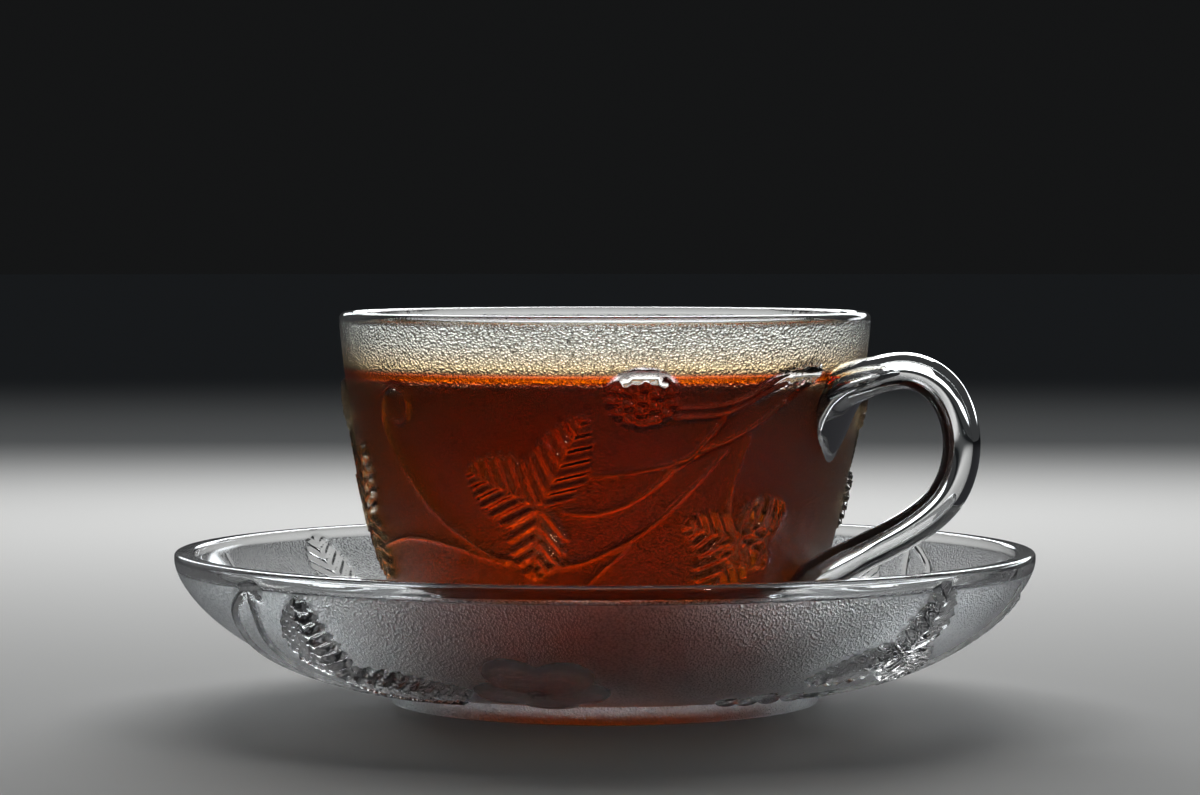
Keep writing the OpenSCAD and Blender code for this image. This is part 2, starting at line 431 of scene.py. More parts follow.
class Relief:
    """Heights of a raised pattern over a sheet of points, built up motif by motif."""

    def __init__(self, x, y):
        self.x, self.y = x.ravel(), y.ravel()
        self.height = np.zeros(self.x.size)
        self.cover = np.zeros(self.x.size)

    def near(self, points, reach):
        """The sheet's points within reach of the box round some points: indices and places."""
        lo, hi = np.min(points, 0) - reach, np.max(points, 0) + reach
        inside = (self.x > lo[0]) & (self.x < hi[0]) & (self.y > lo[1]) & (self.y < hi[1])
        where = np.nonzero(inside)[0]
        return where, np.stack([self.x[where], self.y[where]], 1)

    def raise_to(self, where, height, cover):
        """Keeps the higher of what stands there and the new motif."""
        self.height[where] = np.maximum(self.height[where], height)
        self.cover[where] = np.maximum(self.cover[where], cover)

    def stem(self, points, width=0.5, height=0.75):
        """A bell-shaped ridge over the distance to a smooth curve, which thins at its end."""
        line = smooth_line(points, 8)
        where, p = self.near(line, 3 * width)
        p = p[:, None, :]
        a, b = line[None, :-1], line[None, 1:]
        ab = b - a
        t = np.clip(((p - a) * ab).sum(2) / np.maximum((ab * ab).sum(2), 1e-9), 0, 1)
        d = np.linalg.norm(p - a - t[:, :, None] * ab, axis=2).min(1)
        bell = np.exp(-(d / width) ** 2)
        self.raise_to(where, height * bell, smoothstep(0.12, 0.5, bell))

    def leaf(self, base, tip, half_width, gap=2.5, height=1.0):
        """A leaf on a midrib from base to tip, with slanting ribs that end in round teeth.

        Along and across are the distances along the midrib and from it. The outline's half
        width is a sine of the share of the length. The ribs are waves of along minus across,
        so they slant towards the tip, and the outline swells where each rib ends.
        """
        base, tip = np.array(base, float), np.array(tip, float)
        length = np.linalg.norm(tip - base)
        axis = (tip - base) / length
        where, p = self.near([base, tip], half_width + 1.5)
        p = p - base
        along = p @ axis
        across = np.abs(p @ np.array([-axis[1], axis[0]]))
        share = np.clip(along / length, 0, 1)
        wave = np.cos(2 * math.pi * (along - 0.85 * across) / gap)
        outline = half_width * np.sin(math.pi * share ** 0.8) ** 0.6 * (1 + 0.09 * wave)
        edge = np.minimum(outline - across, np.minimum(along, length - along) * 1.2)
        body = smoothstep(-0.1, 0.45, edge)
        ribs = (0.5 + 0.5 * wave) ** 1.3
        midrib = np.exp(-(across / 0.4) ** 2)
        shape = body * (0.25 + 0.75 * ribs * (1 - midrib) + 0.5 * midrib)
        self.raise_to(where, height * shape, smoothstep(0.0, 0.5, body))

    def berry(self, centre, size, grain=1.9, height=1.25):
        """A dome of round drupelets: rings of small domes on a low large one."""
        centre, size = np.array(centre, float), np.array(size, float)
        where, p = self.near([centre - size, centre + size], 1.0)
        p = p - centre
        e = np.linalg.norm(p / size, axis=1)
        dome = np.sqrt(np.clip(1 - e * e, 0, 1))
        seeds = [[0.0, 0.0]]
        for ring in range(1, int(size.min() / grain * 1.02) + 1):
            count = round(2 * math.pi * ring)
            a = np.arange(count) * 2 * math.pi / count + 0.4 * ring
            seeds += list(np.stack([np.cos(a), np.sin(a)], 1) * ring * grain * size / size.min())
        far = np.linalg.norm(p[:, None, :] - np.array(seeds)[None], axis=2).min(1)
        drupelet = np.sqrt(np.clip(1 - (far / (0.58 * grain)) ** 2, 0, 1))
        body = smoothstep(1.04, 0.9, e)
        self.raise_to(where, body * height * (0.45 * dome + 0.55 * drupelet), body)

    def petal(self, centre, tip, half_width, height):
        """A round petal: an oval dome with a ring pressed into it, pebbled towards its middle."""
        centre, tip = np.array(centre, float), np.array(tip, float)
        length = np.linalg.norm(tip - centre) / 2
        axis = (tip - centre) / (2 * length)
        middle = (centre + tip) / 2
        where, p = self.near([centre, tip], half_width + 1.0)
        p = p - middle
        u, v = p @ axis / length, p @ np.array([-axis[1], axis[0]]) / half_width
        e = np.hypot(u, v)
        body = smoothstep(1.03, 0.82, e)
        dome = np.sqrt(np.clip(1 - e * e, 0, 1))
        ring = 0.16 * np.exp(-((np.hypot(u + 0.25, v) - 0.5) / 0.1) ** 2)
        shape = body * (0.35 + 0.65 * dome - ring)
        self.raise_to(where, height * shape, body * (1 - 0.6 * dome))


def leaf_group(relief, centre, tips, half_widths):
    """Leaves that fan out from one point."""
    for tip, half_width in zip(tips, half_widths):
        relief.leaf(centre, np.add(centre, tip), half_width)


CUP_SHEET_R = 40
FRONT = -62
SECTOR = (-110, 70)


def round_cup(degrees, height):
    """Place on the cup's sheet: millimetres round the wall and millimetres over the table."""
    return (math.radians(degrees) * CUP_SHEET_R, height)


def cup_relief(angle, z):
    """Height and cover of the cup's pattern, which stands twice round the wall."""
    turn = np.degrees(angle) - FRONT - SECTOR[0]
    degrees = np.mod(turn, 180) + SECTOR[0]
    relief = Relief(np.radians(degrees) * CUP_SHEET_R, z / MM)
    for points in CUP_STEMS:
        relief.stem([round_cup(*p) for p in points])
    curl = np.radians(np.linspace(190, -150, 16))
    reach = np.linspace(3.3, 2.5, 16)
    x, y = round_cup(-51, 49.2)
    relief.stem(np.stack([x + reach * np.cos(curl), y + reach * np.sin(curl)], 1))
    for centre, tips, widths in CUP_LEAVES:
        leaf_group(relief, round_cup(*centre), tips, widths)
    for centre, size in CUP_BERRIES:
        relief.berry(round_cup(*centre), size)
    return relief.height.reshape(degrees.shape) * MM, relief.cover.reshape(degrees.shape)


# Stems, [degrees from the middle of the front, millimetres over the table]
CUP_STEMS = [
    [(-3, 39), (5, 39.5), (13, 40.5), (18.5, 41.8), (23, 45), (27, 48.5)],
    [(-9, 33.5), (-2.5, 33.2), (4.5, 34.6), (10, 36.8), (14.5, 39.3)],
    [(-16, 24.5), (-11, 25), (-4.5, 25.8), (5.5, 29), (12, 32), (19, 36.5), (27, 42.6)],
    [(-8, 19.5), (-3.5, 22.7), (3, 26.5), (5.5, 28.5)],
    [(14.5, 39.5), (22.5, 43), (27, 44.2), (35, 47), (44.5, 51.5), (50, 53.5)],
    [(15.5, 49.4), (24, 49.6), (30.5, 50.7), (38.5, 53.4), (47, 55), (52, 55.2)],
    [(15.5, 48), (21, 48), (26.5, 48.5), (30.5, 49.6), (38.5, 52.3), (47, 54), (52, 54.5)],
    [(32, 29), (29.5, 33), (29.5, 37.5), (31, 41), (32.8, 44.8)],
    [(-56, 49), (-55.8, 45), (-52, 40.4), (-46.4, 35.3), (-40, 31.2), (-33.6, 28.5), (-28, 26.5),
     (-21, 25.6)],
    [(-70, 26), (-61, 27.5), (-54, 28.4), (-45.5, 28.3), (-38, 27.5), (-31.5, 26.4), (-24, 25.2)],
    [(-88, 45), (-86, 40), (-82, 35), (-78, 31)],
]
# Leaf groups: centre, then each leaf's tip from it in millimetres, then their half widths
CUP_LEAVES = [
    ((-14.5, 34.4), [(-12.2, 5.6), (7.2, 14.2), (-2.3, -12)], [5.7, 4.7, 5.0]),
    ((32, 29), [(-9.8, 2.4), (10.6, 4.6), (-4.5, -11), (8.4, -4.6)], [3.6, 4.4, 5.2, 3.6]),
    ((-77, 31), [(4.5, 12), (-12, 4), (5.5, -10)], [4.4, 4.6, 4.4]),
]
CUP_BERRIES = [((8, 50.8), (5.7, 5.0)), ((-90, 48.5), (4.6, 4.2))]


def dish_place(degrees, r):
    """Place on the saucer's sheet, which is the underside rolled flat: [x, y] in millimetres."""
    under = dish_underside(401)
    reach = (DISH_START + np.interp(r * MM, under[:, 0], line_lengths(under))) / MM
    return (reach * math.cos(math.radians(degrees)), reach * math.sin(math.radians(degrees)))


def saucer_relief(angle, r, z):
    """Height and cover of the saucer's pattern, which stands twice round the underside."""
    under = dish_underside(401)
    reach = (DISH_START + np.interp(r + z, under.sum(1), line_lengths(under))) / MM
    turn = np.radians(np.mod(np.degrees(angle) - FRONT + 90, 180) - 90)
    relief = Relief(reach * np.cos(turn), reach * np.sin(turn))
    for points in SAUCER_STEMS:
        relief.stem([dish_place(*p) for p in points], 0.75, 0.7)
    for base, tip, half_width in SAUCER_LEAVES:
        relief.leaf(dish_place(*base), dish_place(*tip), half_width, 2.6, 1.1)
    heart = np.array(dish_place(*FLOWER_HEART))
    for tip in FLOWER_TIPS:
        relief.petal(heart, dish_place(*tip), 5.2, 1.0)
    relief.berry(heart, (2.6, 2.6), 1.7, 1.2)
    for centre in SAUCER_BEADS:
        relief.berry(dish_place(*centre), (1.8, 1.8), 4.0, 0.9)
    fade = smoothstep(LIP_Z - 1.3 * MM, LIP_Z - 2.6 * MM, z)
    return relief.height.reshape(r.shape) * MM * fade, relief.cover.reshape(r.shape) * fade


# The saucer's pattern, [degrees from the middle of the front, millimetres from the axis]
SAUCER_STEMS = [
    [(-49.5, 69.2), (-50.8, 69.7), (-52.5, 67.2), (-55.4, 63.5), (-58.5, 57.5), (-59.8, 52.3),
     (-56, 47), (-47, 44.5)],
    [(-50.8, 69.7), (-53.2, 69.3), (-58, 67.2), (-60.8, 64.7), (-67, 58.5), (-70.5, 52.1),
     (-70, 46)],
    [(-30, 43.5), (-38, 42.5), (-50, 42.3), (-62, 44), (-78, 50)],
    [(60, 50), (65.9, 47.8), (72.5, 54.9), (76.9, 62.1), (75.2, 67.7)],
    [(56, 53), (62, 51.5), (68, 57.5), (71.5, 64), (71.5, 69.2)],
    [(38, 46), (48, 46), (60, 50)],
]
SAUCER_LEAVES = [
    ((-47.5, 55.5), (-41.2, 69.6), 5.7),
    ((-47, 55), (-22.8, 51.6), 6.4),
    ((46.8, 62.0), (47.8, 70), 5.0),
    ((46.8, 62.5), (33.8, 54.8), 5.0),
    ((47.5, 61.5), (61, 53.5), 4.6),
]
FLOWER_HEART = (-11, 52.5)
FLOWER_TIPS = [(-15.2, 62.6), (-3.4, 61.6), (1.2, 52.5), (-8.5, 43.2), (-22.6, 51)]
SAUCER_BEADS = [(24.4, 45.2), (29.0, 44.8), (33.6, 45.4), (38.2, 46.3), (31, 47.6)]


# ---------------------------------------------------------------- materials

def feed(slot, value):
    """Gives an input socket a plain value, or links another socket to it."""
    if isinstance(value, bpy.types.NodeSocket):
        slot.id_data.links.new(value, slot)
    else:
        slot.default_value = value


def add(tree, kind, inputs, **settings):
    """Adds a node with its settings, feeds its inputs by name or number, gives its outputs."""
    node = tree.nodes.new("ShaderNode" + kind)
    for name, value in settings.items():
        setattr(node, name, value)
    for key, value in inputs.items():
        feed(node.inputs[key], value)
    return node.outputs


def maths(tree, operation, *values):
    """Math node of one operation: each value is a number or a socket."""
    return add(tree, "Math", dict(enumerate(values)), operation=operation)[0]


def mixed(tree, share, a, b):
    """Mix of two colours by a share: each is a colour or a socket."""
    return add(tree, "Mix", {0: share, 6: a, 7: b}, data_type="RGBA")[2]


def eased(tree, value, low, high, kind="LINEAR"):
    """Map Range node from 0 at low to 1 at high."""
    inputs = {"Value": value, "From Min": low, "From Max": high}
    return add(tree, "MapRange", inputs, interpolation_type=kind)["Result"]


def ramped(tree, share, stops):
    """Colour ramp over a share, with stops of [place, colour]."""
    node = tree.nodes.new("ShaderNodeValToRGB")
    feed(node.inputs["Fac"], share)
    points = node.color_ramp.elements
    while len(points) < len(stops):
        points.new(0.5)
    for point, (place, colour) in zip(points, stops):
        point.position = place
        point.color = (*colour, 1)
    return node.outputs["Color"]


def new_material(name, roughness, ior):
    """Material with a Principled shader: gives the material, its tree and the shader's inputs."""
    mat = bpy.data.materials.new(name)
    mat.use_nodes = True
    shader = mat.node_tree.nodes["Principled BSDF"].inputs
    feed(shader["Roughness"], roughness)
    feed(shader["IOR"], ior)
    return mat, mat.node_tree, shader


# The crevice colour is painted shade between the pebbles, and the pebble top colour is painted
# light on them
STIPPLE_INPUTS = (
    ("Vector", "Vector", (0, 0, 0)), ("Grains per Metre", "Float", 2000), ("Frost", "Float", 0.12),
    ("Mask", "Float", 1), ("Crevice Shade", "Color", (0.35, 0.36, 0.37, 1)),
    ("Painted Pebble Top", "Color", CLEAR),
)
STIPPLE_OUTPUTS = (("Height", "Float"), ("Roughness", "Float"), ("Colour", "Color"))


def stipple_group():
    """Pebbled surface of pressed glass: round grains of two sizes, kept to a mask, with painted
    shade in the crevices between them and painted light on their tops. Made once.
    """
    if "Stipple" in bpy.data.node_groups:
        return bpy.data.node_groups["Stipple"]
    tree = bpy.data.node_groups.new("Stipple", "ShaderNodeTree")
    for label, kind, value in STIPPLE_INPUTS:
        socket = tree.interface.new_socket(label, in_out="INPUT", socket_type="NodeSocket" + kind)
        socket.default_value = value
    for label, kind in STIPPLE_OUTPUTS:
        tree.interface.new_socket(label, in_out="OUTPUT", socket_type="NodeSocket" + kind)
    given = tree.nodes.new("NodeGroupInput").outputs
    result = tree.nodes.new("NodeGroupOutput").inputs
    heights = []
    for share, size in ((1.0, 1.0), (0.45, 2.3)):
        scale = maths(tree, "MULTIPLY", given["Grains per Metre"], size)
        cells = add(tree, "TexVoronoi", {"Vector": given["Vector"], "Scale": scale}, feature="F1")
        dome = maths(tree, "SUBTRACT", 1, maths(tree, "POWER", cells["Distance"], 1.6))
        heights.append(maths(tree, "MULTIPLY", dome, share))
    both = maths(tree, "ADD", *heights)
    frost = maths(tree, "MULTIPLY", given["Frost"], given["Mask"])
    # Painted shade in the crevices and painted light on the pebble tops, mixed by the pebbles'
    # height
    pebbles = mixed(tree, eased(tree, both, 0.55, 1.25), given["Crevice Shade"], given["Painted Pebble Top"])
    feed(result["Height"], maths(tree, "MULTIPLY", both, given["Mask"]))
    feed(result["Roughness"], maths(tree, "ADD", frost, 0.01))
    feed(result["Colour"], mixed(tree, given["Mask"], CLEAR, pebbles))
    return tree


def glass_material(name, settings, painted_stops):
    """Clear glass, smooth but for the pebbled places that the piece marks as grain.

    The painted light and shade is a table of [height over the table, colour of the crevices, colour
    of the pebble tops] from the foot up, blended in between: painted shade in the crevices and a
    painted glow on the pebble tops.
    """
    mat, tree, shader = new_material(name, settings.frost, GLASS_IOR)
    where = add(tree, "TexCoord", {})["Object"]
    share = maths(tree, "DIVIDE", add(tree, "SeparateXYZ", {0: where})["Z"], RIM_Z)
    # Painted light and shade by height over the table: painted shade for the crevices and a painted
    # glow for the pebble tops
    crevice_shade, top = (
        ramped(tree, share, [(painted_stop[0] / RIM_Z, painted_stop[k]) for painted_stop in painted_stops]) for k in (1, 2))
    pebbled = add(tree, "Group", {
        "Vector": where, "Grains per Metre": 1 / settings.pebble, "Frost": settings.frost,
        "Mask": add(tree, "Attribute", {}, attribute_name="grain")["Fac"],
        "Crevice Shade": crevice_shade, "Painted Pebble Top": top}, node_tree=stipple_group())
    bump = add(tree, "Bump", {"Distance": settings.pebble_depth, "Height": pebbled["Height"]})
    feed(shader["Transmission Weight"], 1)
    feed(shader["Normal"], bump["Normal"])
    feed(shader["Roughness"], pebbled["Roughness"])
    feed(shader["Base Color"], pebbled["Colour"])
    return mat


# Painted light and shade on the pebbles by height: painted shade, dim and amber, where the tea
# stands behind them, a painted orange glow where it climbs the wall, a painted dark line at the top
# of its edge, a painted warm glow just over its level, and painted grey shade in the band up to the
# rim
CUP_PAINTED_LIGHT = (
    (TEA_Z - 2.6 * MM, (0.12, 0.08, 0.03), (0.50, 0.32, 0.10)),
    (TEA_Z - 2.0 * MM, (0.40, 0.01, 0.0), (0.85, 0.025, 0.0)),
    (TEA_Z - 0.9 * MM, (0.40, 0.01, 0.0), (0.85, 0.025, 0.0)),
    (TEA_Z - 0.4 * MM, (0.06, 0.015, 0.004), (0.28, 0.07, 0.012)),
    (TEA_Z + 0.3 * MM, (0.23, 0.13, 0.04), (0.61, 0.38, 0.13)),
    (TEA_Z + 4 * MM, (0.165, 0.155, 0.115), (0.46, 0.44, 0.35)),
    (RIM_Z, (0.15, 0.165, 0.16), (0.42, 0.46, 0.44)),
)
# Painted light and shade on the saucer's pebbles: a painted bluish-white glow on the foot, as if
# lit through from behind, and painted shade in the crevices of the dish, darker towards the lip
SAUCER_PAINTED_LIGHT = (
    (0.0, (0.75, 0.80, 0.84), (0.97, 0.99, 1.0)),
    (FOOT_H, (0.75, 0.80, 0.84), (0.97, 0.99, 1.0)),
    (FOOT_H + 1 * MM, (0.45, 0.47, 0.49), (0.95, 0.98, 1.0)),
    (LIP_Z, (0.36, 0.37, 0.38), (0.95, 0.98, 1.0)),
)


def tea_material(settings):
    """Clear tea that darkens with depth."""
    mat, tree, shader = new_material("black_tea", 0, TEA_IOR)
    feed(shader["Base Color"], (1, 1, 1, 1))
    feed(shader["Transmission Weight"], 1)
    depth = {"Color": (*settings.colour, 1), "Density": settings.strength}
    volume = add(tree, "VolumeAbsorption", depth)["Volume"]
    feed(tree.nodes["Material Output"].inputs["Volume"], volume)
    return mat


def floor_material(settings):
    """Pale matt floor with a faint mottle, with painted shade that darkens it evenly far from the
    cup, a painted falloff of the light.

    Light that has been mirrored in the glass sees it dark, as it would a black card, so that
    the glass keeps clear edges on a pale floor.
    """
    mat, tree, shader = new_material("floor", 0.9, GLASS_IOR)
    where = add(tree, "TexCoord", {})["Object"]
    mottle = add(tree, "TexNoise", {"Vector": where, "Scale": 6})["Fac"]
    far = add(tree, "VectorMath", {0: where}, operation="LENGTH")["Value"]
    # Painted shade: the floor's colour darkens with the distance from the cup, standing in for the
    # light falling off
    fade = eased(tree, far, settings.pale, settings.dark, "SMOOTHERSTEP")
    near = ramped(tree, mottle, [(0, [0.97 * c for c in settings.floor]), (1, settings.floor)])
    mirrored = maths(tree, "MINIMUM", add(tree, "LightPath", {})["Glossy Depth"], 1)
    colour = mixed(tree, mirrored, mixed(tree, fade, near, PAINTED_FAR_SHADE), BLACK_CARD)
    feed(shader["Base Color"], colour)
    feed(shader["Specular IOR Level"], 0)
    return mat


# Painted shade of the far floor
PAINTED_FAR_SHADE = (0.075, 0.08, 0.086, 1)
BLACK_CARD = (0.05, 0.05, 0.055, 1)


def room_light(settings):
    """Dim even room with broad soft panels of light, low down behind the cup.

    A panel is the product of three smooth steps: over the cosine of the angle to its middle,
    and over the height of its lower and upper edge. The camera itself sees a dark backdrop.
    """
    world = bpy.data.worlds.new("room")
    world.use_nodes = True
    tree = world.node_tree
    where = add(tree, "TexCoord", {})["Generated"]

    def along(axis):
        return add(tree, "VectorMath", {0: where, 1: axis}, operation="DOT_PRODUCT")["Value"]

    def step(value, low, high, trig):
        return eased(tree, value, trig(math.radians(low)), trig(math.radians(high)), "SMOOTHSTEP")

    up = along((0, 0, 1))
    glow = settings.sky
    for side, half_width, low, high, strength in PANELS:
        turn = settings.azimuth - math.radians(side)
        middle = along((-math.sin(turn), math.cos(turn), 0))
        across = step(middle, half_width + 4, half_width - 4, math.cos)
        bottom = step(up, low - 2, low + 2, math.sin)
        top = maths(tree, "SUBTRACT", 1, step(up, high - 3, high + 3, math.sin))
        panel = maths(tree, "MULTIPLY", maths(tree, "MULTIPLY", across, bottom), top)
        glow = maths(tree, "MULTIPLY_ADD", panel, strength * settings.panel, glow)
    unseen = maths(tree, "SUBTRACT", 1, add(tree, "LightPath", {})["Is Camera Ray"])
    sky = tree.nodes["Background"].inputs
    feed(sky["Color"], (0.93, 0.97, 1, 1))
    feed(sky["Strength"], maths(tree, "MULTIPLY_ADD", glow, unseen, BACKDROP))
    return world


# Strength of the room as the camera itself sees it
BACKDROP = 0.008
# Panels of light: degrees to the right of straight behind the cup, half width, lower and upper
# edge over the horizon, and strength
PANELS = (
    (5, 24, 9, 27, 6.2),
    (38, 12, 7, 24, 6.0),
)


# ---------------------------------------------------------------- pieces

class CUP_OT_stage(bpy.types.Operator):
    """Pale floor, soft lights and the camera"""
    bl_idname = "tea_cup.stage"
    bl_label = "Stage"

    def execute(self, context):
        settings = context.scene.cup_stage
        self.add_camera(context, settings)
        self.add_floor(settings)
        self.add_lights(context, settings)
        context.scene.cycles.transmission_bounces = 14
        context.scene.cycles.max_bounces = 16
        context.scene.cycles.transparent_max_bounces = 16
        return {"FINISHED"}

    def add_camera(self, context, settings):
        data = bpy.data.cameras.new("camera")
        data.lens = settings.lens
        data.sensor_width = 36
        camera = bpy.data.objects.new("camera", data)
        context.scene.collection.objects.link(camera)
        away = Vector((math.sin(settings.azimuth), -math.cos(settings.azimuth), 0))
        right = Vector((math.cos(settings.azimuth), math.sin(settings.azimuth), 0))
        camera.location = away * settings.distance + Vector((0, 0, settings.height))
        target = Vector((0, 0, AIM_Z)) - right * AIM_LEFT
        camera.rotation_euler = (target - camera.location).to_track_quat("-Z", "Y").to_euler()
        context.scene.camera = camera

    def add_floor(self, settings):
        count, radius = 64, 8.0
        a = np.arange(count) * 2 * math.pi / count
        rim = np.stack([radius * np.cos(a), radius * np.sin(a), np.zeros(count)], 1)
        verts = np.concatenate([rim, [[0, 0, 0]]])
        j = np.arange(count)
        tris = np.stack([j, (j + 1) % count, np.full(count, count)], 1)
        floor = put_mesh("floor", verts, np.zeros((0, 4), int), tris)
        floor.data.materials.append(floor_material(settings))

    def add_lights(self, context, settings):
        context.scene.world = room_light(settings)
        turn = settings.azimuth
        right = Vector((math.cos(turn), math.sin(turn), 0))
        far = Vector((-math.sin(turn), math.cos(turn), 0))
        for name, side, back, height, wide, deep, power in LAMPS:
            data = bpy.data.lights.new(name, "AREA")
            data.shape = "RECTANGLE"
            data.size = wide
            data.size_y = deep
            data.energy = power
            lamp = bpy.data.objects.new(name, data)
            context.scene.collection.objects.link(lamp)
            lamp.visible_camera = False
            lamp.location = right * side + far * back + Vector((0, 0, height))
            aim = Vector((0, 0, LAMP_AIM_Z)) - lamp.location
            lamp.rotation_euler = aim.to_track_quat("-Z", "Y").to_euler()
        context.scene.view_settings.view_transform = "Standard"


# Where the camera aims: height over the table, and how far to the left of the cup's axis
AIM_Z = 49.5 * MM
AIM_LEFT = 0.8 * MM
LAMP_AIM_Z = 40 * MM
# Lamps: how far to the right of the cup, behind it and over the table as the camera sees it,
# then width, depth and power
LAMPS = (
    ("back", 0.0, 0.50, 0.42, 0.50, 0.30, 2.4),
    ("spark", 0.38, -0.82, 0.14, 0.04, 0.04, 0.3),
)


def handle_swell(length, total):
    """How much thicker and wider the rod grows towards its two roots."""
    upper = 1 - smoothstep(FLARE, 2 * FLARE, length)
    lower = 1 - smoothstep(FLARE, 2 * FLARE, total - length)
    return [1 + UPPER_GAIN[k] * upper + LOWER_GAIN[k] * lower for k in (0, 1)]


class CUP_OT_cup(bpy.types.Operator):
    """Glass cup: pebbled wall with raised leaves, round lip, foot and handle in one piece"""
    bl_idname = "tea_cup.cup"
    bl_label = "Cup"

    def execute(self, context):
        settings = context.scene.cup_glass
        cup = put_mesh("cup_glass", *self.bowl(settings.relief))
        for name, shape in (("rod", self.handle()), ("spur", self.spur())):
            part = put_mesh(name, *shape)
            cut_or_join(part, put_mesh("core", *self.core()), "DIFFERENCE")
            cut_or_join(cup, part, "UNION")
        self.soften_roots(cup.data, settings.relief)
        self.mark_grain(cup.data)
        cup.data.materials.clear()
        cup.data.materials.append(glass_material("pressed_glass", settings, CUP_PAINTED_LIGHT))
        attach(cup, "root")
        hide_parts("cup")
        return {"FINISHED"}

    def bowl(self, strength):
        """The bowl turned from its profile, with the raised pattern on its wall."""
        recess = CUP_FOOT_Z + CUP_RECESS
        ring_in = CUP_FOOT_R - CUP_RING_W
        base = np.array([[r, recess] for r in (0, ring_in * 0.5, ring_in - 1.0 * MM)])
        foot = np.array([
            [ring_in - 0.6 * MM, recess - 0.1 * MM], [ring_in - 0.1 * MM, CUP_FOOT_Z + 0.25 * MM],
            [ring_in + 0.4 * MM, CUP_FOOT_Z], [CUP_FOOT_R - 0.5 * MM, CUP_FOOT_Z],
            [CUP_FOOT_R - 0.1 * MM, CUP_FOOT_Z + 0.15 * MM], [CUP_FOOT_R, CUP_FOOT_Z + 0.6 * MM]])
        corner = outer_corner(16)[:-1]
        z = np.linspace(CORNER_TOP, 56.6 * MM, 104)
        wall = np.stack([wall_radius(z), z], 1)
        z = np.linspace(56.9 * MM, WALL_TOP, 10)[:-1]
        band = np.stack([wall_radius(z), z], 1)
        lip = on_arc((RIM_R - RIM_T / 2, WALL_TOP), RIM_T / 2, 0, math.pi, 15)
        z = np.linspace(WALL_TOP, INNER_TOP, 26)[1:-1]
        inner = np.stack([inner_radius(z), z], 1)
        hollow = inner_corner(14)
        floor = np.array([[hollow[-1][0] * k, hollow[-1][1]] for k in (0.66, 0.33, 0.0)])
        sections = [(base, 84), (foot, 168), (corner, 336), (wall, 672), (band, 336), (lip, 336),
                    (inner, 168), (hollow, 168), (floor, 84)]

        def lift(a, body, k):
            if k != 3:
                return None
            angle, z = np.meshgrid(a, body[:, 1])
            return strength * cup_relief(angle, z)[0]

        return revolve(sections, lift)

    def core(self):
        """A solid a little larger than the hollow, which keeps the handle out of the inside."""
        grow = 0.9 * MM
        z = np.linspace(RIM_Z + 5 * MM, INNER_TOP, 30)
        wall = np.stack([inner_radius(np.minimum(z, RIM_Z)) + grow, z], 1)
        hollow = inner_corner(14, grow)[1:]
        outline = np.concatenate([[[0, z[0]]], wall, hollow, [[0, hollow[-1][1]]]])[::-1]
        return revolve([(outline[:2], 168), (outline[2:-2], 168), (outline[-2:], 168)])

    def handle(self):
        """The bent rod, which swells towards the wall.

        Each point of its line moves a little towards the middle of its neighbours, again and
        again, so that the bend has no kinks.
        """
        line = smooth_line(HANDLE_LINE, 10) + [0, CUP_FOOT_Z]
        for _ in range(14):
            line[1:-1] += 0.25 * (line[:-2] - 2 * line[1:-1] + line[2:])
        s = line_lengths(line)
        thick, wide = handle_swell(s, s[-1])
        return swept(line, ROD_T / 2 * thick, ROD_W / 2 * wide, 36)

    def spur(self):
        """The tail of glass that runs down the wall under the handle's upper root."""
        line = smooth_line(SPUR_LINE + [0, CUP_FOOT_Z], 12)
        half_t, half_w = (smooth_line(size, 12)[:, 0] for size in (SPUR_T, SPUR_W))
        return swept(line, half_t, half_w, 32)

    def off_wall(self, p, strength):
        """How far points stand off the patterned wall, for points beside it."""
        relief = cup_relief(np.arctan2(p[:, 1], p[:, 0]), p[:, 2])[0] * strength
        return np.hypot(p[:, 0], p[:, 1]) - wall_radius(p[:, 2]) - relief

    def soften_roots(self, mesh, strength):
        """Rounds the corner where the handle meets the wall.

        Points near the seam move towards the middle of their neighbours, again and again, by
        a share that fades with the distance to the seam.
        """
        p = points_of(mesh)
        beside = (p[:, 0] > 25 * MM) & (np.abs(p[:, 1]) < 15 * MM) & (p[:, 2] < WALL_TOP)
        side = np.nonzero(beside)[0]
        off = np.zeros(len(p))
        off[side] = self.off_wall(p[side], strength)
        hollow = inner_radius(np.clip(p[:, 2], CORNER_TOP, WALL_TOP))
        inner = np.hypot(p[:, 0], p[:, 1]) < hollow + 0.5 * MM
        rod_point = (off > 0.05 * MM) & ~inner
        edges = np.empty(len(mesh.edges) * 2, np.int32)
        mesh.edges.foreach_get("vertices", edges)
        edges = edges.reshape(-1, 2)
        across = rod_point[edges[:, 0]] != rod_point[edges[:, 1]]
        seam = np.unique(edges[across & beside[edges].all(1)])
        reach = 1.3 * MM
        d = np.ones(len(p))
        for chunk in np.array_split(side, max(1, len(side) // 2000)):
            d[chunk] = np.linalg.norm(p[chunk][:, None] - p[seam][None], axis=2).min(1)
        share = np.exp(-(d / reach) ** 2) * ~inner
        share[d > 3 * reach] = 0
        moving = edges[(share[edges] > 0).any(1)]
        for _ in range(12):
            total, count = np.zeros_like(p), np.zeros(len(p))
            for a, b in ((0, 1), (1, 0)):
                np.add.at(total, moving[:, a], p[moving[:, b]])
                np.add.at(count, moving[:, a], 1)
            mean = total / np.maximum(count, 1)[:, None]
            p += np.where(share[:, None] > 0, 0.6 * share[:, None] * (mean - p), 0)
        mesh.vertices.foreach_set("co", p.astype(np.float32).ravel())
        mesh.update()

